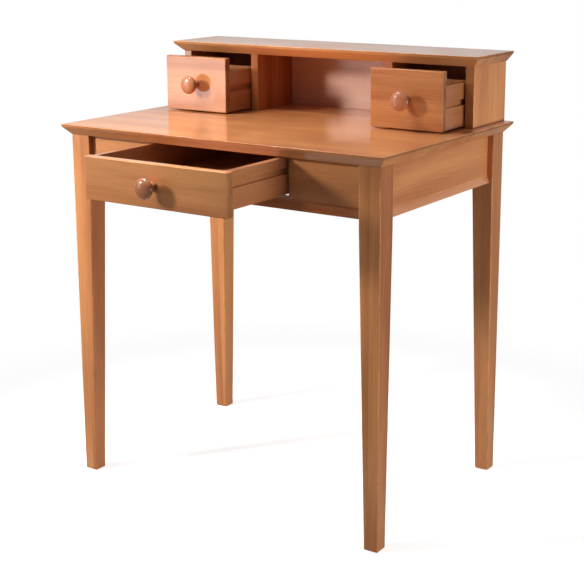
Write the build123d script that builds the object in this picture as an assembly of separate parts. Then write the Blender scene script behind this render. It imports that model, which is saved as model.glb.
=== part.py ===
from build123d import *
import os

# A small writing desk: four tapered legs, an apron frame with one wide drawer under the
# top, and a raised back section (the hutch) with a small drawer at each end.
# X runs along the front, to the right; +Y goes to the back; +Z is up. The origin is on
# the floor, at the middle of the four legs. All sizes are in millimetres.

# ---------------------------------------------------------------- driving dimensions
leg_spread_x, leg_spread_y = 742.0, 500.0  # outer faces of the legs
leg_square, foot_square = 46.0, 30.0
taper_top_z = 626.0
foot_chamfer = 1.5

desk_height = 762.0
slab_thickness, slab_edge = 22.0, 6.0  # whole slab, and its upright edge band
slab_over_x, slab_over_y = 15.0, 16.0

apron_height, apron_thickness, apron_setback = 100.0, 18.0, 12.0
flare_height, flare_out = 14.0, 6.0  # the sloped moulding along the aprons' foot
rail_height, rail_depth = 20.0, 28.0

hutch_half_width, hutch_side_thickness = 365.0, 19.0
divider_thickness, divider_x = 18.0, 161.0  # divider_x: the face towards the middle
hutch_front_y, hutch_back_y = 121.0, 266.0
overall_height = 907.0
hutch_over_x, hutch_over_front = 17.0, 20.0
hutch_back_thickness, hutch_back_inset = 8.0, 2.0

main_opening_half = 165.0
main_front = dict(width=336.0, bottom=656.0, top=739.0, thickness=18.0)
main_box = dict(width=324.0, bottom=668.0, top=739.0, length=430.0, side=12.0, back=12.0)
main_groove_bottom, main_groove_top = 707.0, 719.0
main_pulled_out = 176.0

small_front = dict(width=163.0, bottom=764.5, top=882.5, thickness=16.0)
small_box = dict(width=161.0, bottom=765.5, top=854.0, length=116.0, side=11.0, back=10.0)
small_groove_bottom, small_groove_top = 809.0, 821.0
small_pulled_out = 91.0

groove_depth = 6.0  # runner grooves in the drawer sides
runner_reach = 5.0  # how far a runner stands into its groove
runner_low_gap, runner_high_gap = 1.0, 0.3  # the drawer hangs on the runner's top
runner_end_gap = 4.0  # between a runner's front end and the piece in front of it
main_runner_back_gap, small_runner_back_gap = 30.0, 12.0
guide_thickness = 18.0

ply_thickness, ply_groove, ply_rise = 5.0, 5.0, 8.0  # drawer bottoms and their grooves
ply_side_gap = 0.5  # between a drawer bottom's edge and the end of its groove
fit_gap = 0.1  # glue line or hand fit between two pieces

knob_radius, knob_projection, knob_base_radius, knob_neck_radius = 20.0, 36.0, 9.5, 7.0
knob_foot_height = 2.0
knob_waist_share, knob_rim_share = 0.28, 0.70  # heights, as shares of the projection

dowel_radius, dowel_depth, dowel_edge = 4.0, 18.0, 18.0  # edge: in from a rail's edge
small_dowel_radius, small_dowel_depth, small_dowel_edge = 3.0, 13.0, 30.0
bolt_radius, nut_radius, nut_height = 3.0, 6.5, 5.0
bolt_depth, bolt_tail = 20.0, 9.0  # into the leg, and past the block's face
screw_radius, screw_head_radius, screw_head_height = 1.75, 3.4, 2.2
top_screw_in_block, top_screw_in_top = 34.0, 11.0
guide_screw_depth, guide_screw_low, guide_screw_high = 22.0, 22.0, 10.0
main_runner_screw_depth, main_runner_screw_edge = 8.0, 60.0
small_runner_screw_depth, small_runner_screw_edge = 6.0, 22.0
knob_screw_depth = 16.0
pin_radius, pin_sunk = 1.0, 1.0
pin_low, pin_high = 22.0, 8.0  # up from a drawer side's foot, and down from its top
back_pin_depth = 14.0
front_pin_depth, front_pin_length, front_pin_inset = 11.0, 31.0, 2.5
hole_gap = 0.05  # radial gap round dowels, bolts and screws

# ---------------------------------------------------------------- places worked out
half_x, half_y = leg_spread_x / 2, leg_spread_y / 2
frame_top = desk_height - slab_thickness
apron_bottom = frame_top - apron_height
apron_out_x, apron_out_y = half_x - apron_setback, half_y - apron_setback
apron_in_x, apron_in_y = apron_out_x - apron_thickness, apron_out_y - apron_thickness
leg_in_x, leg_in_y = half_x - leg_square, half_y - leg_square
rail_top = apron_bottom + rail_height
hutch_underside = overall_height - slab_thickness
hutch_inner_x = hutch_half_width - hutch_side_thickness
divider_outer_x = divider_x + divider_thickness
hutch_back_face_y = hutch_back_y - hutch_back_inset - hutch_back_thickness
cell_centre_x = (hutch_inner_x + divider_outer_x) / 2
cell_half = (hutch_inner_x - divider_outer_x) / 2


# ---------------------------------------------------------------- shared shapes
def board(x0, x1, y0, y1, z0, z1):
    """A plain board between two corners."""
    return Pos((x0 + x1) / 2, (y0 + y1) / 2, (z0 + z1) / 2) * Box(x1 - x0, y1 - y0, z1 - z0)


def rod(start, end, radius):
    """A round rod from one point to another."""
    start, end = Vector(*start), Vector(*end)
    axis = end - start
    return Plane(origin=start, z_dir=axis) * Cylinder(
        radius, axis.length, align=(Align.CENTER, Align.CENTER, Align.MIN)
    )


def cut(piece, tools):
    """The piece with every tool taken out of it."""
    for tool in tools:
        piece = piece - tool
    return piece


def profile_x(points, x0, x1):
    """A (y, z) outline run along X."""
    face = make_face(Polyline(*[(x0, y, z) for y, z in points], close=True))
    return extrude(face, amount=x1 - x0, dir=(1, 0, 0))


def profile_y(points, y0, y1):
    """An (x, z) outline run along Y."""
    face = make_face(Polyline(*[(x, y0, z) for x, z in points], close=True))
    return extrude(face, amount=y1 - y0, dir=(0, 1, 0))


def profile_z(points, z0, z1):
    """An (x, y) outline run up Z."""
    face = make_face(Polyline(*[(x, y, z0) for x, y in points], close=True))
    return extrude(face, amount=z1 - z0, dir=(0, 0, 1))


def rectangle_at(x0, x1, y0, y1, z):
    return Pos((x0 + x1) / 2, (y0 + y1) / 2, z) * Rectangle(x1 - x0, y1 - y0)


def bevelled_slab(x0, x1, y0, y1, top, inset_x, inset_front, inset_back):
    """A slab with an upright edge band and an underside that slopes in below it."""
    band = board(x0, x1, y0, y1, top - slab_edge, top)
    under = loft(
        [
            rectangle_at(x0, x1, y0, y1, top - slab_edge).face(),
            rectangle_at(
                x0 + inset_x, x1 - inset_x, y0 + inset_front, y1 - inset_back, top - slab_thickness
            ).face(),
        ],
        ruled=True,
    )
    return band + under


def screw(head_outside, tip):
    """A screw whose flat head starts at head_outside and whose shank runs to the tip."""
    start, end = Vector(*head_outside), Vector(*tip)
    along = (end - start).normalized()
    head_end = start + along * screw_head_height
    return rod(start, head_end, screw_head_radius) + rod(head_end, end, screw_radius)


def screw_hole(head_outside, tip):
    """The space that the same screw needs."""
    start, end = Vector(*head_outside), Vector(*tip)
    along = (end - start).normalized()
    head_end = start + along * screw_head_height
    head = rod(start - along, head_end, screw_head_radius + hole_gap)
    return head + rod(head_end - along, end, screw_radius + hole_gap)


def write(name, piece):
    piece.label = name
    export_step(piece, "parts/" + name + ".step")


def write_group(name, pieces):
    write(name, Compound(children=list(pieces)))


os.makedirs("parts", exist_ok=True)
sides = {"left": -1, "right": 1}
ends = {"front": -1, "back": 1}

# ---------------------------------------------------------------- joints in the frame
# Dowels that run along Y join the side aprons to the legs; dowels along X join the
# back apron, the front panels and the lower rail to them.
apron_mid_x = (apron_out_x + apron_in_x) / 2
apron_mid_y = (apron_out_y + apron_in_y) / 2
rail_mid_y = -apron_out_y + rail_depth / 2
dowel_levels = (rail_top + dowel_edge, frame_top - dowel_edge)
frame_dowel_ends = []
for sx in sides.values():
    for sy in ends.values():
        for level in dowel_levels:
            frame_dowel_ends.append(
                (
                    (sx * apron_mid_x, sy * (leg_in_y - dowel_depth), level),
                    (sx * apron_mid_x, sy * (leg_in_y + dowel_depth), level),
                )
            )
            frame_dowel_ends.append(
                (
                    (sx * (leg_in_x - dowel_depth), sy * apron_mid_y, level),
                    (sx * (leg_in_x + dowel_depth), sy * apron_mid_y, level),
                )
            )
    rail_level = apron_bottom + rail_height / 2
    frame_dowel_ends.append(
        (
            (sx * (leg_in_x - dowel_depth), rail_mid_y, rail_level),
            (sx * (leg_in_x + dowel_depth), rail_mid_y, rail_level),
        )
    )
frame_dowel_holes = [
    rod(a, b, dowel_radius + hole_gap) for a, b in frame_dowel_ends
]

# A glued block spans each inner corner, with one bolt through it into the leg and one
# screw up into the top.
block_near, block_far = 45.0, 70.0  # along each apron from the corner of the frame
block_height, bolt_rise = 60.0, 22.0
block_bottom = frame_top - block_height
bolt_level = block_bottom + bolt_rise
top_screw_place = (14.0, 44.0)
top_screw_start = frame_top - top_screw_in_block
top_screw_end = frame_top + top_screw_in_top


def corner_point(sx, sy, u, v, z):
    """A point u and v inwards from the inner faces of the two aprons that meet."""
    return (sx * (apron_in_x - u), sy * (apron_in_y - v), z)


def diagonal(sx, sy, distance):
    """A point on a corner's bolt line, distance inwards along each apron."""
    return corner_point(sx, sy, distance, distance, bolt_level)


corners = [(sx, sy) for sx in sides.values() for sy in ends.values()]
leg_corner = apron_in_x - leg_in_x  # how far the leg stands inside the aprons' faces
bolt_inner = block_far / 2 + bolt_tail
bolt_outer = leg_corner - bolt_depth / 2**0.5
bolts = [
    rod(diagonal(sx, sy, bolt_outer), diagonal(sx, sy, bolt_inner), bolt_radius)
    for sx, sy in corners
]
bolt_holes = [
    rod(diagonal(sx, sy, bolt_outer), diagonal(sx, sy, bolt_inner), bolt_radius + hole_gap)
    for sx, sy in corners
]
nuts = []
for sx, sy in corners:
    start = Vector(*diagonal(sx, sy, block_far / 2))
    inwards = (Vector(*diagonal(sx, sy, bolt_inner)) - start).normalized()
    blank = Plane(origin=start, z_dir=inwards) * extrude(
        RegularPolygon(nut_radius, 6), amount=nut_height
    )
    nuts.append(cut(blank, bolt_holes))
top_screw_lines = [
    (
        corner_point(sx, sy, *top_screw_place, top_screw_start),
        corner_point(sx, sy, *top_screw_place, top_screw_end),
    )
    for sx, sy in corners
]
top_screws = [screw(a, b) for a, b in top_screw_lines]
top_screw_holes = [
    screw_hole(a, b) + rod((a[0], a[1], block_bottom - 1), a, screw_head_radius + hole_gap)
    for a, b in top_screw_lines
]
blocks = []
for sx, sy in corners:
    outline = [
        corner_point(sx, sy, u, v, 0)[:2]
        for u, v in ((0, block_near), (0, block_far), (block_far, 0), (block_near, 0))
    ]
    block = profile_z(outline, block_bottom, frame_top)
    blocks.append(cut(block, bolt_holes + top_screw_holes))

# ---------------------------------------------------------------- legs
# Square at the top; the two inner faces taper from below the aprons to the foot.
for end, sy in ends.items():
    for side, sx in sides.items():
        leg = board(leg_in_x, half_x, leg_in_y, half_y, taper_top_z, frame_top)
        foot = rectangle_at(half_x - foot_square, half_x, half_y - foot_square, half_y, 0)
        knee = rectangle_at(leg_in_x, half_x, leg_in_y, half_y, taper_top_z)
        leg = leg + loft([foot.face(), knee.face()], ruled=True)
        leg = chamfer(leg.faces().sort_by(Axis.Z)[0].edges(), foot_chamfer)
        if sx < 0:
            leg = mirror(leg, about=Plane.YZ)
        if sy < 0:
            leg = mirror(leg, about=Plane.XZ)
        write("leg_" + end + "_" + side, cut(leg, frame_dowel_holes + bolt_holes))

# ---------------------------------------------------------------- aprons and lower rail
flare_z = apron_bottom + flare_height
side_outline = [
    (apron_in_x, apron_bottom),
    (apron_out_x + flare_out, apron_bottom),
    (apron_out_x, flare_z),
    (apron_out_x, frame_top),
    (apron_in_x, frame_top),
]
for side, sx in sides.items():
    apron = profile_y([(sx * x, z) for x, z in side_outline], -leg_in_y, leg_in_y)
    write("side_apron_" + side, cut(apron, frame_dowel_holes))

back_outline = [
    (apron_in_y, apron_bottom),
    (apron_out_y + flare_out, apron_bottom),
    (apron_out_y, flare_z),
    (apron_out_y, frame_top),
    (apron_in_y, frame_top),
]
guide_x = main_opening_half + guide_thickness / 2
guide_levels = (main_groove_bottom - guide_screw_low, main_groove_top + guide_screw_high)
guide_screw_lines = []
for sx in sides.values():
    for level in guide_levels:
        guide_screw_lines.append(
            (
                (sx * guide_x, apron_out_y, level),
                (sx * guide_x, apron_in_y - guide_screw_depth, level),
            )
        )
guide_screw_holes = [screw_hole(a, b) for a, b in guide_screw_lines]
back_apron = profile_x(back_outline, -leg_in_x, leg_in_x)
write("back_apron", cut(back_apron, frame_dowel_holes + guide_screw_holes))

for side, sx in sides.items():
    near, far = sorted((sx * main_opening_half, sx * leg_in_x))
    panel = board(near, far, -apron_out_y, -apron_in_y, rail_top, frame_top)
    write("front_panel_" + side, cut(panel, frame_dowel_holes))

rail_outline = [
    (-apron_out_y + rail_depth, apron_bottom),
    (-apron_out_y - flare_out, apron_bottom),
    (-apron_out_y, flare_z),
    (-apron_out_y, rail_top),
    (-apron_out_y + rail_depth, rail_top),
]
write("lower_rail", cut(profile_x(rail_outline, -leg_in_x, leg_in_x), frame_dowel_holes))

# ---------------------------------------------------------------- main drawer's guides
# A guide board runs from each front panel to the back apron and carries the runner.
main_runner_in = main_box["width"] / 2 - runner_reach
main_runner_front = -apron_out_y + runner_end_gap
main_runner_back = apron_in_y - main_runner_back_gap
main_screw_places = (
    main_runner_front + main_runner_screw_edge,
    0.0,
    main_runner_back - main_runner_screw_edge,
)
runner_screw_lines = []
for sx in sides.values():
    for y in main_screw_places:
        level = (main_groove_bottom + main_groove_top) / 2
        start = (sx * main_runner_in, y, level)
        end = (sx * (main_opening_half + main_runner_screw_depth), y, level)
        runner_screw_lines.append((start, end))
small_level = (small_groove_bottom + small_groove_top) / 2
small_wall_gap = cell_half - small_box["width"] / 2
small_runner_depth = small_wall_gap + runner_reach
small_runner_front = hutch_front_y + small_front["thickness"] + runner_end_gap
small_runner_back = hutch_back_face_y - small_runner_back_gap
small_screw_places = (
    small_runner_front + small_runner_screw_edge,
    small_runner_back - small_runner_screw_edge,
)
for sx in sides.values():
    for wall in sides.values():
        for y in small_screw_places:
            wall_x = sx * cell_centre_x + wall * cell_half
            start = (wall_x - wall * small_runner_depth, y, small_level)
            end = (wall_x + wall * small_runner_screw_depth, y, small_level)
            runner_screw_lines.append((start, end))
runner_screw_holes = [screw_hole(a, b) for a, b in runner_screw_lines]

for side, sx in sides.items():
    near, far = sorted((sx * main_opening_half, sx * (main_opening_half + guide_thickness)))
    guide = board(near, far, -apron_in_y, apron_in_y, main_box["bottom"], frame_top)
    write("drawer_guide_" + side, cut(guide, guide_screw_holes + runner_screw_holes))
    near, far = sorted((sx * main_runner_in, sx * main_opening_half))
    low, high = main_groove_bottom + runner_low_gap, main_groove_top - runner_high_gap
    runner = board(near, far, main_runner_front, main_runner_back, low, high)
    write("main_runner_" + side, cut(runner, runner_screw_holes))

# ---------------------------------------------------------------- desk top
panel_middles = [
    sx * x
    for sx in sides.values()
    for x in (hutch_half_width - hutch_side_thickness / 2, divider_x + divider_thickness / 2)
]
hutch_dowel_ends = []
for x in panel_middles:
    for y in (hutch_front_y + small_dowel_edge, hutch_back_face_y - small_dowel_edge):
        for joint_z in (desk_height, hutch_underside):
            low = (x, y, joint_z - small_dowel_depth)
            high = (x, y, joint_z + small_dowel_depth)
            hutch_dowel_ends.append((low, high))
hutch_dowel_holes = [
    rod(a, b, small_dowel_radius + hole_gap) for a, b in hutch_dowel_ends
]

slab_x, slab_y = half_x + slab_over_x, half_y + slab_over_y
top_slab = bevelled_slab(
    -slab_x, slab_x, -slab_y, slab_y, desk_height, slab_over_x, slab_over_y, slab_over_y
)
write("desk_top", cut(top_slab, top_screw_holes + hutch_dowel_holes))

# ---------------------------------------------------------------- hutch
for side, sx in sides.items():
    near, far = sorted((sx * hutch_inner_x, sx * hutch_half_width))
    panel = board(near, far, hutch_front_y, hutch_back_y, desk_height, hutch_underside)
    write("hutch_side_" + side, cut(panel, hutch_dowel_holes + runner_screw_holes))
    near, far = sorted((sx * divider_x, sx * divider_outer_x))
    panel = board(near, far, hutch_front_y, hutch_back_face_y, desk_height, hutch_underside)
    write("hutch_divider_" + side, cut(panel, hutch_dowel_holes + runner_screw_holes))

back_panel = board(
    -hutch_inner_x,
    hutch_inner_x,
    hutch_back_face_y,
    hutch_back_face_y + hutch_back_thickness,
    desk_height,
    hutch_underside,
)
write("hutch_back", back_panel)

lid_x = hutch_half_width + hutch_over_x
lid = bevelled_slab(
    -lid_x,
    lid_x,
    hutch_front_y - hutch_over_front,
    hutch_back_y,
    overall_height,
    hutch_over_x - 1,
    hutch_over_front - 1,
    0,
)
write("hutch_top", cut(lid, hutch_dowel_holes))

for side, sx in sides.items():
    for place, wall in (("inner", -sx), ("outer", sx)):
        wall_x = sx * cell_centre_x + wall * cell_half
        near, far = sorted((wall_x, wall_x - wall * small_runner_depth))
        low, high = small_groove_bottom + runner_low_gap, small_groove_top - runner_high_gap
        runner = board(near, far, small_runner_front, small_runner_back, low, high)
        write(side + "_runner_" + place, cut(runner, runner_screw_holes))


# ---------------------------------------------------------------- drawers
def knob_shape():
    """A turned mushroom knob standing up Z from its seat."""
    waist_z, rim_z = knob_projection * knob_waist_share, knob_projection * knob_rim_share
    with BuildPart() as turned:
        with BuildSketch(Plane.XZ):
            with BuildLine():
                Line((0, 0), (knob_base_radius, 0))
                Line((knob_base_radius, 0), (knob_base_radius, knob_foot_height))
                Spline(
                    (knob_base_radius, knob_foot_height),
                    (knob_neck_radius, waist_z),
                    (knob_radius, rim_z),
                    tangents=((-1, 0.6), (0, 1)),
                )
                Spline((knob_radius, rim_z), (0, knob_projection), tangents=((0, 1), (-1, 0)))
                Line((0, knob_projection), (0, 0))
            make_face()
        revolve(axis=Axis.Z)
    return turned.part


def drawer(name, centre_x, face_y, front, box, groove_low, groove_high, pulled_out):
    """Writes one drawer: front, two grooved sides, back, bottom, knob, screw and pins."""
    out = Pos(0, -pulled_out, 0)
    back_of_front = face_y + front["thickness"]
    far_end = back_of_front + box["length"]
    half_front, half_box = front["width"] / 2, box["width"] / 2
    inner_half = half_box - box["side"]
    ply_low = box["bottom"] + ply_rise
    ply_high = ply_low + ply_thickness

    knob_z = (front["bottom"] + front["top"]) / 2
    seat = (centre_x, face_y, knob_z)
    screw_start = (centre_x, back_of_front + screw_head_height, knob_z)
    screw_tip = (centre_x, face_y - knob_screw_depth, knob_z)
    knob_hole = rod(
        (centre_x, back_of_front, knob_z), screw_tip, screw_radius + hole_gap
    )

    ply = board(
        centre_x - inner_half - ply_groove + ply_side_gap,
        centre_x + inner_half + ply_groove - ply_side_gap,
        back_of_front - ply_groove + ply_side_gap,
        far_end,
        ply_low,
        ply_high,
    )
    ply_slot = board(
        centre_x - inner_half - ply_groove,
        centre_x + inner_half + ply_groove,
        back_of_front - ply_groove,
        far_end + 1,
        ply_low - fit_gap,
        ply_high + fit_gap,
    )

    # Four pins through each side: two into the front's back, two into the drawer's back.
    pin_levels = (box["bottom"] + pin_low, box["top"] - pin_high)
    pins = []
    pin_holes = []
    for wall in sides.values():
        for level in pin_levels:
            y = far_end - box["back"] / 2
            surface = (centre_x + wall * (half_box + 1), y, level)
            outer = (centre_x + wall * (half_box - pin_sunk), y, level)
            tip = (centre_x + wall * (inner_half - back_pin_depth), y, level)
            pins.append(rod(outer, tip, pin_radius))
            pin_holes.append(rod(surface, tip, pin_radius + hole_gap))
        middle = centre_x + wall * (inner_half + front_pin_inset)
        for level in pin_levels:
            start = (middle, back_of_front - front_pin_depth, level)
            end = (middle, start[1] + front_pin_length, level)
            pins.append(rod(start, end, pin_radius))
            pin_holes.append(rod(start, end, pin_radius + hole_gap))

    face = board(
        centre_x - half_front,
        centre_x + half_front,
        face_y,
        back_of_front,
        front["bottom"],
        front["top"],
    )
    write(name + "_front", out * cut(face, [ply_slot, knob_hole] + pin_holes))

    for side, wall in sides.items():
        outer = centre_x + wall * half_box
        near, far = sorted((outer, outer - wall * box["side"]))
        cheek = board(near, far, back_of_front, far_end, box["bottom"], box["top"])
        near, far = sorted((outer + wall, outer - wall * groove_depth))
        groove = board(near, far, back_of_front - 1, far_end + 1, groove_low, groove_high)
        write(name + "_side_" + side, out * cut(cheek, [groove, ply_slot] + pin_holes))

    back = board(
        centre_x - inner_half,
        centre_x + inner_half,
        far_end - box["back"],
        far_end,
        ply_high + fit_gap,
        box["top"],
    )
    write(name + "_back", out * cut(back, pin_holes))
    write(name + "_bottom", out * ply)

    knob = Pos(*seat) * Rot(90, 0, 0) * knob_shape()
    write(name + "_knob", out * cut(knob, [knob_hole]))
    write(name + "_knob_screw", out * screw(screw_start, screw_tip))
    write_group(name + "_pins", [out * pin for pin in pins])


drawer(
    "main_drawer",
    0.0,
    -apron_out_y - main_front["thickness"],
    main_front,
    main_box,
    main_groove_bottom,
    main_groove_top,
    main_pulled_out,
)
for side, sx in sides.items():
    drawer(
        side + "_drawer",
        sx * cell_centre_x,
        hutch_front_y,
        small_front,
        small_box,
        small_groove_bottom,
        small_groove_top,
        small_pulled_out,
    )

# ---------------------------------------------------------------- blocks and fixings
write_group("corner_blocks", blocks)
write_group("corner_bolts", bolts)
write_group("corner_nuts", nuts)
write_group("top_screws", top_screws)
write_group("frame_dowels", [rod(a, b, dowel_radius) for a, b in frame_dowel_ends])
write_group("hutch_dowels", [rod(a, b, small_dowel_radius) for a, b in hutch_dowel_ends])
write_group("guide_screws", [screw(a, b) for a, b in guide_screw_lines])
write_group("runner_screws", [screw(a, b) for a, b in runner_screw_lines])
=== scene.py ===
import math

import bmesh
import bpy
from mathutils import Matrix, Vector


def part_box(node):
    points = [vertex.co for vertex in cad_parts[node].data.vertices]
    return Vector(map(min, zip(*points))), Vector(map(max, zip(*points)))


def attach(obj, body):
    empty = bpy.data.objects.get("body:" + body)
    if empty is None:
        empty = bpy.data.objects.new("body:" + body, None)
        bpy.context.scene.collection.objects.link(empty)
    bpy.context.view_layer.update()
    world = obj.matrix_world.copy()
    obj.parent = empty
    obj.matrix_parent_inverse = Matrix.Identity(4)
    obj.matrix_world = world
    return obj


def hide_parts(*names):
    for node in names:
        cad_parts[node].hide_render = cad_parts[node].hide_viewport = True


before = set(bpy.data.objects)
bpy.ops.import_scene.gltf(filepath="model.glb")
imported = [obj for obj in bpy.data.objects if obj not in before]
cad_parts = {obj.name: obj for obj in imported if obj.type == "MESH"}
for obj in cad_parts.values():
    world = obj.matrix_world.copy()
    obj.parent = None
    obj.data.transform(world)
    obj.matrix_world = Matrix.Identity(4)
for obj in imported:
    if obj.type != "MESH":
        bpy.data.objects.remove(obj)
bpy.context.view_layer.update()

# The camera stands in front of the desk's right-hand corner, a little above the hutch,
# and looks slightly down. Its lens is shifted downwards, so that the legs lean less.
CAMERA_PLACE = (1.528, -2.227, 1.150)
CAMERA_TURN, CAMERA_DIP, CAMERA_ROLL = math.radians(34.28), math.radians(12.94), math.radians(-0.31)
SENSOR_WIDTH_MM, LENS_MM, LENS_SHIFT = 36, 81, -0.10274
camera_data = bpy.data.cameras.new("camera")
camera_data.sensor_width = SENSOR_WIDTH_MM
camera_data.lens = LENS_MM
camera_data.shift_y = LENS_SHIFT
camera_data.dof.use_dof = False
camera = bpy.data.objects.new("camera", camera_data)
camera.matrix_world = (
    Matrix.Translation(CAMERA_PLACE)
    @ Matrix.Rotation(CAMERA_TURN, 4, "Z")
    @ Matrix.Rotation(math.pi / 2 - CAMERA_DIP, 4, "X")
    @ Matrix.Rotation(CAMERA_ROLL, 4, "Z")
)
bpy.context.scene.collection.objects.link(camera)
bpy.context.scene.camera = camera

# The studio is a white surround that lights the desk from behind and above, and stays dim
# in front. Two soft lamps stand at the left in front of the desk, one high and one low.
# A third hangs over the front of the top, and a broad one stands low on the right.
BRIGHT_BEHIND, BRIGHT_ABOVE, DIM_IN_FRONT = 0.70, 0.38, 0.05
WHITE = (1, 1, 1, 1)
bpy.context.scene.view_settings.view_transform = "Standard"


def add_node(tree, kind, inputs=None, **settings):
    """A new node with its settings, and its inputs set or linked."""
    made = tree.nodes.new(kind)
    for key, value in settings.items():
        setattr(made, key, value)
    for socket, value in (inputs or {}).items():
        if isinstance(value, bpy.types.NodeSocket):
            tree.links.new(value, made.inputs[socket])
        else:
            made.inputs[socket].default_value = value
    return made


def work_out(tree, operation, *values, clamp=False):
    """The result of a Math node."""
    inputs = dict(enumerate(values))
    return add_node(tree, "ShaderNodeMath", inputs, operation=operation, use_clamp=clamp).outputs[0]


def ramp(tree, value, low, high, to_low=0.0, to_high=1.0):
    """A value eased from one range into another."""
    inputs = {
        "Value": value, "From Min": low, "From Max": high, "To Min": to_low, "To Max": to_high
    }
    made = add_node(tree, "ShaderNodeMapRange", inputs, interpolation_type="SMOOTHSTEP")
    return made.outputs["Result"]


studio = bpy.data.worlds.new("studio")
studio.use_nodes = True
tree = studio.node_tree
backdrop = tree.nodes["Background"]
towards = add_node(tree, "ShaderNodeTexCoord").outputs["Generated"]
_, to_back, upwards = add_node(tree, "ShaderNodeSeparateXYZ", {0: towards}).outputs
behind = ramp(tree, to_back, -0.2, 0.75, DIM_IN_FRONT, BRIGHT_BEHIND)
above = ramp(tree, upwards, 0.1, 0.9, DIM_IN_FRONT, BRIGHT_ABOVE)
seen = add_node(tree, "ShaderNodeLightPath").outputs["Is Camera Ray"]
brightness = work_out(tree, "MAXIMUM", work_out(tree, "MAXIMUM", behind, above), seen)
tree.links.new(brightness, backdrop.inputs["Strength"])
backdrop.inputs["Color"].default_value = WHITE
bpy.context.scene.world = studio


def soft_lamp(name, place, aim, size, watts, spread):
    """A rectangular soft lamp that stands at one place and points at another."""
    data = bpy.data.lights.new(name, "AREA")
    data.spread = math.radians(spread)
    data.shape = "RECTANGLE"
    data.size, data.size_y = size
    data.energy = watts
    lamp = bpy.data.objects.new(name, data)
    lamp.location = place
    lamp.rotation_euler = (Vector(aim) - Vector(place)).to_track_quat("-Z", "Y").to_euler()
    bpy.context.scene.collection.objects.link(lamp)


soft_lamp(
    "front_lamp", (-1.55, -1.8, 1.6), (-0.55, -0.25, 0.66), size=(0.32, 0.36), watts=5.6, spread=54
)
soft_lamp(
    "low_lamp", (-1.60, -1.7, 0.78), (-1.1, 0.0, 0.78), size=(0.74, 0.60), watts=3.3, spread=90
)
soft_lamp(
    "over_lamp", (-0.55, -0.5, 2.2), (0.0, -0.38, 0.76), size=(0.5, 0.35), watts=3.7, spread=58
)
soft_lamp(
    "side_lamp", (3.0, 0.3, 0.2), (0.3, 0.0, 0.45), size=(1.4, 0.9), watts=14, spread=80
)

# The floor is a wide sheet of matt white board. It fades into the white surround away from
# the desk, and it throws back less light than it shows, so that the legs aren't washed out.
FLOOR_REACH = 40
FADE_START, FADE_END = 0.2, 1.15
FLOOR_PAINT, FLOOR_PAINT_UNSEEN = 0.93, 0.4
FLOOR_GLOW, FLOOR_GLOW_UNSEEN = (0.55, 0.55, 0.55, 1), 0.19
floor_shape = bmesh.new()
bmesh.ops.create_grid(floor_shape, x_segments=1, y_segments=1, size=FLOOR_REACH)
floor_mesh = bpy.data.meshes.new("floor")
floor_shape.to_mesh(floor_mesh)
floor_shape.free()
floor = bpy.data.objects.new("floor", floor_mesh)
bpy.context.scene.collection.objects.link(floor)
pale_floor = bpy.data.materials.new("pale_floor")
pale_floor.use_nodes = True
tree = pale_floor.node_tree
shader = tree.nodes["Principled BSDF"]
place = add_node(tree, "ShaderNodeTexCoord").outputs["Object"]
away = add_node(tree, "ShaderNodeVectorMath", {0: place}, operation="LENGTH").outputs["Value"]
fade = ramp(tree, away, FADE_START, FADE_END)
seen = add_node(tree, "ShaderNodeLightPath").outputs["Is Camera Ray"]
paint = ramp(tree, seen, 0, 1, FLOOR_PAINT_UNSEEN, FLOOR_PAINT)
paint = work_out(tree, "MULTIPLY", paint, ramp(tree, fade, 0, 1, 1, 0))
glow = add_node(
    tree, "ShaderNodeMix", {"Factor": fade, "A": FLOOR_GLOW, "B": WHITE}, data_type="RGBA"
)
tree.links.new(paint, shader.inputs["Base Color"])
tree.links.new(glow.outputs["Result"], shader.inputs["Emission Color"])
tree.links.new(ramp(tree, seen, 0, 1, FLOOR_GLOW_UNSEEN, 1), shader.inputs["Emission Strength"])
shader.inputs["Roughness"].default_value = 1.0
shader.inputs["Specular IOR Level"].default_value = 0.0
floor.data.materials.append(pale_floor)

# The four legs are honey-stained wood, 46 mm square, each glued up from two strips. Its two
# inner faces are planed to a taper below the aprons, and its long edges and its foot are
# eased by hand. The top end stays sharp under the desk top.
FOOT, KNEE = 0.030, 0.626
LEG_STRIP, LEG_EASE = 0.023, 0.0022
# The front right leg's wood is deepened as painted shade, for the drawer's shadow on its front.
FRONT_RIGHT_LEG_PAINTED_SHADE_CONTRAST = 1.2
HAIR, SHARP_TURN = 0.001, 0.25
ONE_BOARD = (0.5, -0.25)
HONEY = ((0.710, 0.300, 0.108), (0.400, 0.120, 0.040))
ALONG_X, ALONG_Y, ALONG_Z = Vector((1, 0, 0)), Vector((0, 1, 0)), Vector((0, 0, 1))
# The wood's pattern is finer across the grain than along it: features per metre on each axis.
WANDER, STREAKS, CLOUDS = (1.6, 9.0, 9.0), (1.1, 26.0, 26.0), (2.0, 20.0, 20.0)
FIBRE, PORES = (9.0, 480.0, 480.0), (110.0, 1500.0, 1500.0)
RUBBING, HAND_MARKS = (24.0, 24.0, 24.0), (9.0, 9.0, 9.0)
LINE_SPACING, WANDER_REACH, GLUE_LINE = 0.0052, 0.045, (0.0001, 0.0005)
LOG_REACH, SEED_SHIFT = (7.0, 3.0, 5.0), 0.731
GRAIN_RELIEF, GRAIN_DEPTH = 0.16, 0.0004


def stretched_noise(tree, place, stretch, detail=2.0, roughness=0.5):
    """Noise on a place that is scaled along each axis first."""
    scaled = add_node(tree, "ShaderNodeVectorMath", {0: place, 1: stretch}, operation="MULTIPLY")
    inputs = {"Vector": scaled.outputs[0], "Scale": 1.0, "Detail": detail, "Roughness": roughness}
    return add_node(tree, "ShaderNodeTexNoise", inputs).outputs["Fac"]


def add_share(tree, total, value, share):
    """The total plus a share of another value."""
    return work_out(tree, "ADD", total, work_out(tree, "MULTIPLY", value, share))


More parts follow.
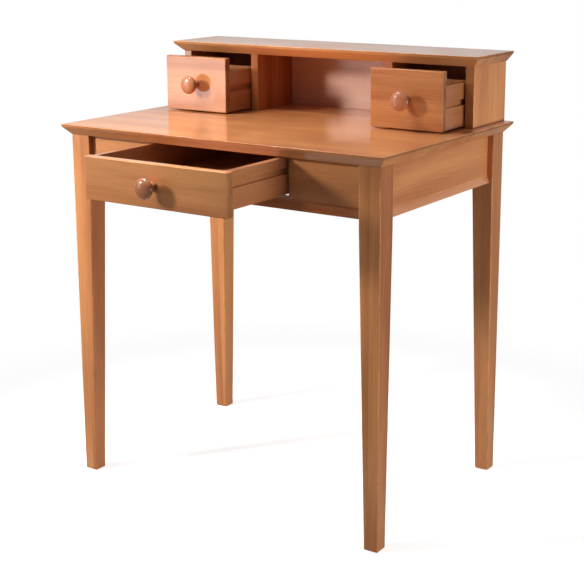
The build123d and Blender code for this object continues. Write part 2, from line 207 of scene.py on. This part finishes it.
def dim_by(tree, tone, mask, share):
    """The tone made darker by a share wherever the mask is."""
    left = work_out(tree, "SUBTRACT", 1.0, work_out(tree, "MULTIPLY", mask, share))
    return work_out(tree, "MULTIPLY", tone, left)


def new_group(name, inputs, outputs):
    """An empty shader node group, its inputs as a dictionary, and its output node."""
    tree = bpy.data.node_groups.new(name, "ShaderNodeTree")
    for label, kind in inputs:
        tree.interface.new_socket(label, in_out="INPUT", socket_type=kind)
    for label, kind in outputs:
        tree.interface.new_socket(label, in_out="OUTPUT", socket_type=kind)
    entry = tree.nodes.new("NodeGroupInput")
    return tree, entry.outputs, tree.nodes.new("NodeGroupOutput").inputs


FIGURE_PARTS = ("Lines", "Fibre", "Flecks", "Cloud", "Board", "Glue Line")


def make_wood_figure():
    """Growth lines, fibre, flecks and glued boards of solid wood, its grain along X."""
    tree, given, result = new_group(
        "wood_figure",
        [("Place", "NodeSocketVector"), ("Board Width", "NodeSocketFloat"),
         ("Seed", "NodeSocketFloat")],
        [(name, "NodeSocketFloat") for name in FIGURE_PARTS],
    )
    along, across, depth = add_node(tree, "ShaderNodeSeparateXYZ", {0: given["Place"]}).outputs
    in_boards = work_out(tree, "DIVIDE", across, given["Board Width"])
    index = work_out(tree, "FLOOR", in_boards)
    key = add_node(tree, "ShaderNodeCombineXYZ", {"X": index, "Y": given["Seed"], "Z": 0.37})
    chance = add_node(
        tree, "ShaderNodeTexWhiteNoise", {"Vector": key.outputs[0]}, noise_dimensions="3D"
    )
    _, green, blue = add_node(tree, "ShaderNodeSeparateColor", {0: chance.outputs["Color"]}).outputs

    # Each board is sawn from its own place in the log.
    in_log = {0: chance.outputs["Color"], 1: LOG_REACH}
    shift = add_node(tree, "ShaderNodeVectorMath", in_log, operation="MULTIPLY").outputs[0]
    moved = {0: given["Place"], 1: shift}
    own_place = add_node(tree, "ShaderNodeVectorMath", moved, operation="ADD").outputs[0]

    # The growth lines cross the board at a slant of its own, and wander along it.
    slant = ramp(tree, blue, 0, 1, 0.35, 1.05)
    level = work_out(tree, "MULTIPLY", across, work_out(tree, "COSINE", slant))
    level = add_share(tree, level, depth, work_out(tree, "SINE", slant))
    level = add_share(tree, level, along, ramp(tree, green, 0, 1, -0.03, 0.03))
    wander = work_out(tree, "SUBTRACT", stretched_noise(tree, own_place, WANDER), 0.5)
    level = add_share(tree, level, wander, WANDER_REACH)
    phase = work_out(tree, "FRACT", work_out(tree, "DIVIDE", level, LINE_SPACING))
    late = ramp(tree, phase, 0.15, 0.85)
    late = work_out(tree, "MULTIPLY", late, ramp(tree, phase, 0.88, 1, 1, 0))
    strength = ramp(tree, stretched_noise(tree, own_place, STREAKS), 0.35, 0.68)
    tree.links.new(work_out(tree, "MULTIPLY", late, strength), result["Lines"])
    tree.links.new(stretched_noise(tree, own_place, FIBRE, 4.0, 0.62), result["Fibre"])
    pores = stretched_noise(tree, own_place, PORES, 1.0)
    tree.links.new(ramp(tree, pores, 0.62, 0.72), result["Flecks"])
    tree.links.new(stretched_noise(tree, own_place, CLOUDS, 3.0), result["Cloud"])
    tree.links.new(chance.outputs["Value"], result["Board"])
    within = work_out(tree, "SUBTRACT", work_out(tree, "SUBTRACT", in_boards, index), 0.5)
    from_edge = work_out(tree, "SUBTRACT", 0.5, work_out(tree, "ABSOLUTE", within))
    from_edge = work_out(tree, "MULTIPLY", from_edge, given["Board Width"])
    tree.links.new(ramp(tree, from_edge, *GLUE_LINE, 1, 0), result["Glue Line"])
    return tree


def make_stained_finish():
    """Stain and clear lacquer on the figure, with pale rubbed edges, dark end grain darkened
    further as painted shade, and painted shade on inner faces.
    """
    floats = (*FIGURE_PARTS, "Arris", "End Grain And Shade", "Inside", "Contrast")
    tree, given, result = new_group(
        "stained_finish",
        [(name, "NodeSocketFloat") for name in floats]
        + [("Pale", "NodeSocketColor"), ("Deep", "NodeSocketColor"),
           ("Place", "NodeSocketVector")],
        [("Colour", "NodeSocketColor"), ("Roughness", "NodeSocketFloat"),
         ("Coat", "NodeSocketFloat"), ("Height", "NodeSocketFloat")],
    )
    depth = ramp(tree, given["Cloud"], 0.28, 0.74, 0.08, 0.66)
    depth = add_share(tree, depth, given["Lines"], 0.10)
    depth = work_out(tree, "ADD", depth, ramp(tree, given["Board"], 0, 1, -0.18, 0.18))
    depth = work_out(tree, "ADD", depth, ramp(tree, given["Fibre"], 0.22, 0.78, -0.11, 0.12))
    depth = work_out(tree, "MULTIPLY", depth, given["Contrast"], clamp=True)
    stain = {"Factor": depth, "A": given["Pale"], "B": given["Deep"]}
    blend = add_node(tree, "ShaderNodeMix", stain, data_type="RGBA")
    tone = 1.0
    # The end grain's darkening is partly painted shade, and the inner faces' darkening is painted
    # shade.
    darker = {"Flecks": 0.16, "Glue Line": 0.22, "End Grain And Shade": 0.46, "Inside": 0.3}
    for mask, share in darker.items():
        tone = dim_by(tree, tone, given[mask], share)
    rubbed = ramp(tree, stretched_noise(tree, given["Place"], RUBBING, 3.0), 0.38, 0.66, 0.15, 1)
    tone = add_share(tree, tone, work_out(tree, "MULTIPLY", given["Arris"], rubbed), 0.28)
    toned = add_node(
        tree, "ShaderNodeVectorMath", {0: blend.outputs["Result"], "Scale": tone}, operation="SCALE"
    )
    tree.links.new(toned.outputs[0], result["Colour"])
    marks = stretched_noise(tree, given["Place"], HAND_MARKS, 4.0, 0.62)
    roughness = ramp(tree, marks, 0.35, 0.70, 0.30, 0.42)
    roughness = add_share(tree, roughness, given["End Grain And Shade"], 0.12)
    roughness = add_share(tree, roughness, given["Flecks"], 0.10)
    tree.links.new(roughness, result["Roughness"])
    coat = ramp(tree, marks, 0.30, 0.70, 0.85, 0.65)
    coat = work_out(tree, "MULTIPLY", coat, ramp(tree, given["Arris"], 0, 1, 1, 0.3))
    tree.links.new(coat, result["Coat"])
    height = 0.0
    relief = {"Fibre": 0.5, "Flecks": -1.0, "Lines": -0.25, "Glue Line": -0.8}
    for mark, share in relief.items():
        height = add_share(tree, height, given[mark], share)
    tree.links.new(height, result["Height"])
    return tree


wood_figure = make_wood_figure()
stained_finish = make_stained_finish()


def stained_wood(
    name, grain, across, seed, boards=ONE_BOARD, tones=HONEY, contrast=1.0, coat_roughness=0.09
):
    """Lacquered wood, its grain along one axis and its boards side by side across another.

    The boards are given as their width and the place of the first one's edge.
    """
    board_width, first_edge = boards
    made = bpy.data.materials.new(name)
    made.use_nodes = True
    tree = made.node_tree
    shader = tree.nodes["Principled BSDF"]
    turn = Matrix((grain, across, grain.cross(across))).to_euler()
    coords = add_node(tree, "ShaderNodeTexCoord")
    shift = (seed * SEED_SHIFT, -first_edge, 0)
    on_board = {"Vector": coords.outputs["Object"], "Location": shift, "Rotation": turn}
    place = add_node(tree, "ShaderNodeMapping", on_board).outputs[0]
    facing = {0: coords.outputs["Normal"], 1: grain}
    facing = add_node(tree, "ShaderNodeVectorMath", facing, operation="DOT_PRODUCT")
    # Faces across the grain are darker end grain, darkened further as painted shade.
    end_grain_and_shade = ramp(tree, work_out(tree, "ABSOLUTE", facing.outputs["Value"]), 0.72, 0.92)
    figure = tree.nodes.new("ShaderNodeGroup")
    figure.node_tree = wood_figure
    tree.links.new(place, figure.inputs["Place"])
    figure.inputs["Board Width"].default_value = board_width
    figure.inputs["Seed"].default_value = seed
    finish = tree.nodes.new("ShaderNodeGroup")
    finish.node_tree = stained_finish
    for socket in FIGURE_PARTS:
        tree.links.new(figure.outputs[socket], finish.inputs[socket])
    for socket, mark in (("Arris", "arris"), ("Inside", "painted_shade_inside")):
        marked = add_node(tree, "ShaderNodeAttribute", attribute_name=mark)
        tree.links.new(marked.outputs["Fac"], finish.inputs[socket])
    tree.links.new(end_grain_and_shade, finish.inputs["End Grain And Shade"])
    tree.links.new(place, finish.inputs["Place"])
    finish.inputs["Contrast"].default_value = contrast
    finish.inputs["Pale"].default_value = (*tones[0], 1)
    finish.inputs["Deep"].default_value = (*tones[1], 1)
    relief = {"Height": finish.outputs["Height"], "Strength": GRAIN_RELIEF, "Distance": GRAIN_DEPTH}
    bump = add_node(tree, "ShaderNodeBump", relief)
    tree.links.new(finish.outputs["Colour"], shader.inputs["Base Color"])
    tree.links.new(finish.outputs["Roughness"], shader.inputs["Roughness"])
    tree.links.new(finish.outputs["Coat"], shader.inputs["Coat Weight"])
    tree.links.new(bump.outputs["Normal"], shader.inputs["Normal"])
    shader.inputs["Coat Roughness"].default_value = coat_roughness
    shader.inputs["Specular IOR Level"].default_value = 0.1
    return made


def block(lowest, highest):
    """A plain block between two corners."""
    shape = bmesh.new()
    bmesh.ops.create_cube(shape, size=1)
    size = Vector(highest) - Vector(lowest)
    bmesh.ops.scale(shape, vec=size, verts=shape.verts)
    bmesh.ops.translate(shape, vec=(Vector(highest) + Vector(lowest)) / 2, verts=shape.verts)
    return shape


def cut_level(shape, height):
    """A cut straight across the shape at a height, which leaves both halves in place."""
    everything = shape.verts[:] + shape.edges[:] + shape.faces[:]
    bmesh.ops.bisect_plane(shape, geom=everything, plane_co=(0, 0, height), plane_no=(0, 0, 1))


def sharp_edges(shape):
    """The edges where two faces meet at a clear angle."""
    return [edge for edge in shape.edges if edge.calc_face_angle(0) > SHARP_TURN]


def ease(shape, width, segments=3, edges=None):
    """Rounds the sharp edges, and marks the new faces as arrises."""
    mark = shape.faces.layers.float.new("arris")
    made = bmesh.ops.bevel(
        shape, geom=edges or sharp_edges(shape), offset=width, affect="EDGES", segments=segments,
        profile=0.5, material=-1, clamp_overlap=True,
    )
    for face in made["faces"]:
        face[mark] = 1.0
        face.smooth = True


def finish_piece(shape, name, body, node, material):
    """Makes the shape a piece that rides on a body and stands for a CAD node."""
    bmesh.ops.recalc_face_normals(shape, faces=shape.faces)
    mesh = bpy.data.meshes.new(name)
    shape.to_mesh(mesh)
    shape.free()
    piece = bpy.data.objects.new(name, mesh)
    bpy.context.scene.collection.objects.link(piece)
    piece.data.materials.append(material)
    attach(piece, body)
    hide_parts(node)
    return piece


def at_foot(place, outer):
    """Where a corner of the foot stands: the outer faces stay upright and the inner ones taper."""
    return outer if abs(place - outer) < HAIR else outer - math.copysign(FOOT, outer)


leg_names = [f"leg_{end}_{side}" for end in ("front", "back") for side in ("left", "right")]
for number, node in enumerate(leg_names):
    low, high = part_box(node)
    leg = block(low, high)
    cut_level(leg, KNEE)
    outer_x, outer_y = (low.x if low.x < 0 else high.x), (low.y if low.y < 0 else high.y)
    for corner in leg.verts:
        if corner.co.z < low.z + HAIR:
            corner.co.x, corner.co.y = at_foot(corner.co.x, outer_x), at_foot(corner.co.y, outer_y)
    exposed = [
        edge for edge in sharp_edges(leg) if min(end.co.z for end in edge.verts) < high.z - HAIR
    ]
    ease(leg, LEG_EASE, edges=exposed)
    wood = stained_wood(
        node, ALONG_Z, ALONG_X, seed=3.1 + number * 1.7, boards=(LEG_STRIP, low.x),
        # Painted shade: the front right leg gets the deeper tone.
        contrast=FRONT_RIGHT_LEG_PAINTED_SHADE_CONTRAST if node == "leg_front_right" else 1.0,
    )
    finish_piece(leg, f"eased_{node}", "desk", node, wood)

# The aprons stand back from the legs' faces. Each one, and the rail under the drawer,
# has a moulding planed along its foot that slopes outwards to a thin lower edge.
FLARE_OUT, FLARE_HEIGHT = 0.006, 0.014
BOARD_EASE = 0.0010
APRON_BOARD, RAIL_BOARD = (0.2, 0.6), (0.2, 0.55)
# The lower rail's wood is deepened as painted shade, for the shade of the open drawer and the top
# above it.
RAIL_PAINTED_SHADE_CONTRAST = 2.1


def long_board(outline, lie, start, end):
    """A board whose outline is run from start to end; lie puts the outline in place."""
    shape = bmesh.new()
    corners = [shape.verts.new(lie(a, b, start)) for a, b in outline]
    face = shape.faces.new(corners)
    made = bmesh.ops.extrude_face_region(shape, geom=[face])
    moved = [v for v in made["geom"] if isinstance(v, bmesh.types.BMVert)]
    bmesh.ops.translate(shape, vec=lie(0, 0, end) - lie(0, 0, start), verts=moved)
    bmesh.ops.recalc_face_normals(shape, faces=shape.faces)
    return shape


def run_along_x(a, b, at):
    """A board's outline stands across X."""
    return Vector((at, a, b))


def run_along_y(a, b, at):
    """A board's outline stands across Y."""
    return Vector((a, at, b))


def moulded(inner, outer, low, high):
    """A board's outline with the sloped moulding on its outer side."""
    out = math.copysign(FLARE_OUT, outer - inner)
    face = outer - out
    return [(inner, low), (outer, low), (face, low + FLARE_HEIGHT), (face, high), (inner, high)]


for number, side in enumerate(("left", "right")):
    node = f"side_apron_{side}"
    low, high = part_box(node)
    inner, outer = (high.x, low.x) if side == "left" else (low.x, high.x)
    apron = long_board(moulded(inner, outer, low.z, high.z), run_along_y, low.y, high.y)
    ease(apron, BOARD_EASE)
    wood = stained_wood(node, ALONG_Y, ALONG_Z, seed=11.3 + number * 2.9, boards=APRON_BOARD)
    finish_piece(apron, f"moulded_apron_{side}", "desk", node, wood)

low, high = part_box("back_apron")
apron = long_board(moulded(low.y, high.y, low.z, high.z), run_along_x, low.x, high.x)
ease(apron, BOARD_EASE)
wood = stained_wood("back_apron", ALONG_X, ALONG_Z, seed=17.9, boards=APRON_BOARD)
finish_piece(apron, "moulded_apron_back", "desk", "back_apron", wood)

low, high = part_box("lower_rail")
rail = long_board(moulded(high.y, low.y, low.z, high.z), run_along_x, low.x, high.x)
ease(rail, BOARD_EASE)
wood = stained_wood(
    "lower_rail", ALONG_X, ALONG_Z, seed=21.3, boards=RAIL_BOARD, contrast=RAIL_PAINTED_SHADE_CONTRAST
)
finish_piece(rail, "moulded_lower_rail", "desk", "lower_rail", wood)

# A plain panel fills the front on each side of the drawer opening, glued between the
# leg and the guide board, with its grain across the front.
def planed_board(node, body, wood):
    """A plain board with eased edges that fills the node's box."""
    board = block(*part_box(node))
    ease(board, BOARD_EASE)
    finish_piece(board, f"eased_{node}", body, node, wood)


for number, side in enumerate(("left", "right")):
    node = f"front_panel_{side}"
    wood = stained_wood(node, ALONG_X, ALONG_Z, seed=23.7 + number * 1.3, boards=APRON_BOARD)
    planed_board(node, "desk", wood)

# The desk top is glued up from boards laid along the front. It has an upright band
# round its edge, and below the band the underside is planed away at a slope.
BAND, TOP_EASE = 0.006, 0.0014
TOP_BOARD = 0.089


def bevelled_top(low, high, slope_sides, slope_front, slope_back):
    """A slab with an upright band round its edge and a sloped underside."""
    shape = block(low, high)
    cut_level(shape, high.z - BAND)
    for corner in shape.verts:
        if corner.co.z < low.z + HAIR:
            corner.co.x -= math.copysign(slope_sides, corner.co.x)
            corner.co.y += slope_front if corner.co.y < (low.y + high.y) / 2 else -slope_back
    ease(shape, TOP_EASE)
    return shape


low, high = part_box("desk_top")
leg_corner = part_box("leg_front_left")[0]
slope_x, slope_y = leg_corner.x - low.x, leg_corner.y - low.y
top = bevelled_top(low, high, slope_x, slope_y, slope_y)
wood = stained_wood("desk_top", ALONG_X, ALONG_Y, seed=31.0, boards=(TOP_BOARD, low.y))
finish_piece(top, "bevelled_desk_top", "desk", "desk_top", wood)

# The hutch stands on the back of the desk top: two sides and two dividers with upright
# grain, a thin back, and a top with the same sloped edge as the desk's, flush behind.
SIDE_BOARD, DIVIDER_BOARD, HUTCH_TOP_BOARD = 0.112, (0.4, 0.0), 0.083
# The hutch sides and dividers are given deeper wood as painted shade.
HUTCH_SIDE_PAINTED_SHADE_CONTRAST, DIVIDER_PAINTED_SHADE_CONTRAST = 1.25, 1.5
BACK_WOOD = ((0.780, 0.470, 0.330), (0.560, 0.280, 0.180))
LEDGE = 0.001

for number, side in enumerate(("left", "right")):
    node = f"hutch_side_{side}"
    wood = stained_wood(
        node, ALONG_Z, ALONG_Y, seed=41.0 + number * 3.3,
        boards=(SIDE_BOARD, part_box(node)[0].y), contrast=HUTCH_SIDE_PAINTED_SHADE_CONTRAST,
    )
    planed_board(node, "desk", wood)
    node = f"hutch_divider_{side}"
    wood = stained_wood(
        node, ALONG_Z, ALONG_Y, seed=47.0 + number * 2.1, boards=DIVIDER_BOARD,
        contrast=DIVIDER_PAINTED_SHADE_CONTRAST,
    )
    planed_board(node, "desk", wood)

wood = stained_wood(
    "hutch_back", ALONG_X, ALONG_Z, seed=53.0, tones=BACK_WOOD, coat_roughness=0.32
)
planed_board("hutch_back", "desk", wood)

low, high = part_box("hutch_top")
side_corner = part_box("hutch_side_left")[0]
slope_x, slope_y = side_corner.x - low.x - LEDGE, side_corner.y - low.y - LEDGE
top = bevelled_top(low, high, slope_x, slope_y, 0)
wood = stained_wood("hutch_top", ALONG_X, ALONG_Y, seed=59.0, boards=(HUTCH_TOP_BOARD, low.y))
finish_piece(top, "bevelled_hutch_top", "desk", "hutch_top", wood)

# Each drawer has a solid front, two sides with a groove along the outside that slides on
# a runner, a low back, and a thin plywood bottom let into grooves. The sides' inner faces
# are darkened as painted shade for the shade inside the box, and the front stops a hair
# short of the frame when it is shut.
GROOVE, STOP_GAP = 0.006, 0.0002
SMALL_GROOVE = (0.809, 0.821)
GROOVE_LEVELS = {
    "main_drawer": (0.707, 0.719), "left_drawer": SMALL_GROOVE, "right_drawer": SMALL_GROOVE
}
FRONT_EASE, PLY_EASE = 0.0018, 0.0003
DRAWER_BOARD, PLY_SHEET = (0.4, 0.6), (0.8, -0.5)
BOX_WOOD = ((0.490, 0.198, 0.080), (0.290, 0.092, 0.036))
PLY = ((0.68, 0.44, 0.31), (0.52, 0.30, 0.20))
FRONT_CONTRAST, PLY_CONTRAST = 1.2, 0.7
SQUARELY = 0.9

for number, (drawer, (groove_low, groove_high)) in enumerate(GROOVE_LEVELS.items()):
    node = f"{drawer}_front"
    low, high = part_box(node)
    front = block(low, (high.x, high.y - STOP_GAP, high.z))
    ease(front, FRONT_EASE)
    wood = stained_wood(
        node, ALONG_X, ALONG_Z, seed=61.0 + number * 4.7, boards=DRAWER_BOARD,
        contrast=FRONT_CONTRAST,
    )
    finish_piece(front, f"eased_{node}", drawer, node, wood)

    for turn, side in ((-1, "left"), (1, "right")):
        node = f"{drawer}_side_{side}"
        low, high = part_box(node)
        outer, inner = (high.x, low.x) if turn > 0 else (low.x, high.x)
        deep = outer - turn * GROOVE
        outline = [
            (inner, low.z), (outer, low.z), (outer, groove_low), (deep, groove_low),
            (deep, groove_high), (outer, groove_high), (outer, high.z), (inner, high.z),
        ]
        cheek = long_board(outline, run_along_y, low.y, high.y)
        ease(cheek, BOARD_EASE)
        # Painted shade: the inner faces are marked so that the finish darkens them like the shade
        # inside the box.
        mark = cheek.faces.layers.float.new("painted_shade_inside")
        for face in cheek.faces:
            if face.normal.x * turn < -SQUARELY:
                face[mark] = 1.0
        wood = stained_wood(
            node, ALONG_Y, ALONG_Z, seed=71.0 + number * 3.1 + turn, boards=DRAWER_BOARD,
            tones=BOX_WOOD,
        )
        finish_piece(cheek, f"grooved_{node}", drawer, node, wood)

    node = f"{drawer}_back"
    wood = stained_wood(
        node, ALONG_X, ALONG_Z, seed=81.0 + number * 1.9, boards=DRAWER_BOARD, tones=BOX_WOOD
    )
    planed_board(node, drawer, wood)

    node = f"{drawer}_bottom"
    bottom = block(*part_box(node))
    ease(bottom, PLY_EASE, segments=1)
    wood = stained_wood(
        node, ALONG_X, ALONG_Y, seed=91.0 + number * 1.9, boards=PLY_SHEET, tones=PLY,
        contrast=PLY_CONTRAST, coat_roughness=0.3,
    )
    finish_piece(bottom, f"ply_{node}", drawer, node, wood)

# The knobs are turned from the same wood, stained darker: a small foot, a narrow waist and
# a broad rounded head. One screw through the drawer front holds each of them.
KNOB_OUTLINE = [
    (0.00, 0.00), (0.475, 0.00), (0.475, 0.045), (0.40, 0.13), (0.35, 0.27), (0.40, 0.38),
    (0.60, 0.49), (0.85, 0.57), (0.975, 0.65), (1.00, 0.72), (0.965, 0.80), (0.84, 0.89),
    (0.62, 0.955), (0.34, 0.99), (0.00, 1.00),
]
KNOB_STEPS, WELD = 64, 0.00002
KNOB_CONTRAST = 0.8
KNOB_WOOD = ((0.560, 0.220, 0.100), (0.340, 0.105, 0.046))

for number, drawer in enumerate(GROOVE_LEVELS):
    node = f"{drawer}_knob"
    low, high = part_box(node)
    seat = Vector(((low.x + high.x) / 2, high.y, (low.z + high.z) / 2))
    radius, reach = (high.z - low.z) / 2, high.y - low.y
    knob = bmesh.new()
    rim = [knob.verts.new((across * radius, 0, out * reach)) for across, out in KNOB_OUTLINE]
    line = [knob.edges.new(pair) for pair in zip(rim, rim[1:])]
    bmesh.ops.spin(
        knob, geom=rim + line, cent=(0, 0, 0), axis=(0, 0, 1), dvec=(0, 0, 0), angle=math.tau,
        steps=KNOB_STEPS, use_merge=True, use_duplicate=False,
    )
    bmesh.ops.remove_doubles(knob, verts=knob.verts, dist=WELD)
    forwards = Matrix.Rotation(math.pi / 2, 3, "X")
    bmesh.ops.rotate(knob, cent=(0, 0, 0), matrix=forwards, verts=knob.verts)
    bmesh.ops.translate(knob, vec=seat, verts=knob.verts)
    for face in knob.faces:
        face.smooth = True
    wood = stained_wood(
        node, ALONG_X, ALONG_Z, seed=101.0 + number * 5.3, boards=DRAWER_BOARD, tones=KNOB_WOOD,
        contrast=KNOB_CONTRAST, coat_roughness=0.2,
    )
    piece = finish_piece(knob, f"turned_{node}", drawer, node, wood)
    rounder = piece.modifiers.new("rounder", "SUBSURF")
    rounder.levels = rounder.render_levels = 1

# The runners, guide boards and corner blocks are planed and left without stain, and the
# dowels are beech. The screws, bolts, nuts and pins are zinc-plated steel. All of them keep
# the shape that the frame gives them.
BARE = ((0.62, 0.42, 0.23), (0.42, 0.24, 0.11))
BEECH = ((0.66, 0.47, 0.30), (0.50, 0.31, 0.17))
BARE_CONTRAST, BEECH_CONTRAST, DULL_COAT = 0.8, 0.6, 0.35
ZINC_DARK, ZINC_PALE = (0.42, 0.41, 0.39, 1), (0.66, 0.64, 0.60, 1)
MOTTLING, SCRATCHES = (420.0, 420.0, 420.0), (2400.0, 300.0, 2400.0)
bare_along_y = stained_wood(
    "planed_runner_wood", ALONG_Y, ALONG_Z, 111.0, DRAWER_BOARD, BARE, BARE_CONTRAST, DULL_COAT
)
bare_along_x = stained_wood(
    "planed_block_wood", ALONG_X, ALONG_Z, 113.0, DRAWER_BOARD, BARE, BARE_CONTRAST, DULL_COAT
)
beech = stained_wood(
    "beech_dowel_wood", ALONG_X, ALONG_Z, 117.0, DRAWER_BOARD, BEECH, BEECH_CONTRAST, DULL_COAT
)


def make_zinc():
    """Zinc plate: grey, slightly mottled, with fine wear."""
    made = bpy.data.materials.new("zinc_plate")
    made.use_nodes = True
    tree = made.node_tree
    shader = tree.nodes["Principled BSDF"]
    place = add_node(tree, "ShaderNodeTexCoord").outputs["Object"]
    mottle = stretched_noise(tree, place, MOTTLING, 3.0)
    scratch = stretched_noise(tree, place, SCRATCHES)
    colour = add_node(
        tree, "ShaderNodeMix", {"Factor": mottle, "A": ZINC_DARK, "B": ZINC_PALE}, data_type="RGBA"
    )
    tree.links.new(colour.outputs["Result"], shader.inputs["Base Color"])
    tree.links.new(ramp(tree, scratch, 0.3, 0.7, 0.26, 0.44), shader.inputs["Roughness"])
    shader.inputs["Metallic"].default_value = 1.0
    return made


zinc = make_zinc()
for node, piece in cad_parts.items():
    if "_runner_" in node or node.startswith(("main_runner", "drawer_guide")):
        own = bare_along_y
    elif node == "corner_blocks":
        own = bare_along_x
    elif node.endswith("_dowels"):
        own = beech
    elif node.endswith(("_screw", "_screws", "_pins", "_bolts", "_nuts")):
        own = zinc
    else:
        continue
    piece.data.materials.clear()
    piece.data.materials.append(own)
